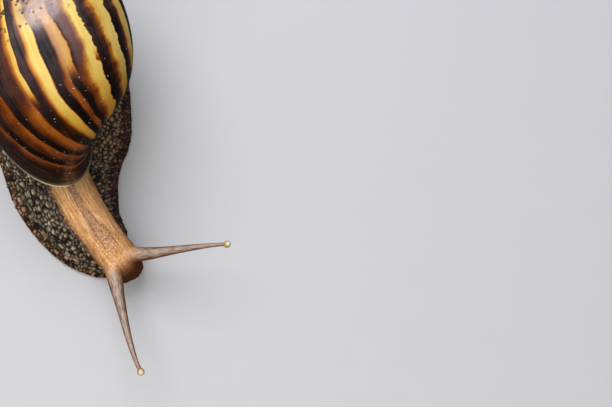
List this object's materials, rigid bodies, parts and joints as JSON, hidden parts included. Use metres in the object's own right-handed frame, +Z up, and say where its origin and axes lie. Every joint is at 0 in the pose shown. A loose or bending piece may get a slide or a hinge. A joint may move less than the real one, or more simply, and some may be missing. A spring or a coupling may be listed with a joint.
{
  "type": "giant african land snail",
  "caption": "Giant African land snail at life size, crawling with its head turned, a banded spiral shell on its back and its feelers stretched out; a still model.",
  "frame": {"origin": "bottom centre of the model's box, on the floor under the sole", "axes": "+Z up; the tail points to +Y, and the neck runs towards -Y and bends towards +X, so the head looks to -Y and +X"},
  "size_m": [0.0614, 0.1348, 0.0505],
  "materials": {
    "shell": "glossy horn-coloured skin over limy shell",
    "ochre_skin": "moist, finely grained",
    "dark_skin": "moist, coarsely grained",
    "mantle": "moist, smooth",
    "feeler": "moist, smooth",
    "eye": "glossy"
  },
  "bodies": {
    "root": {"shell": "shell", "mantle": "mantle", "foot_front": "dark_skin", "foot_middle": "dark_skin", "tail": "dark_skin", "neck": "ochre_skin", "head": "ochre_skin", "tentacle_upper_left": "feeler", "tentacle_upper_right": "feeler", "tentacle_lower_left": "feeler", "tentacle_lower_right": "feeler", "eye_left": "eye", "eye_right": "eye"}
  },
  "joints": []
}
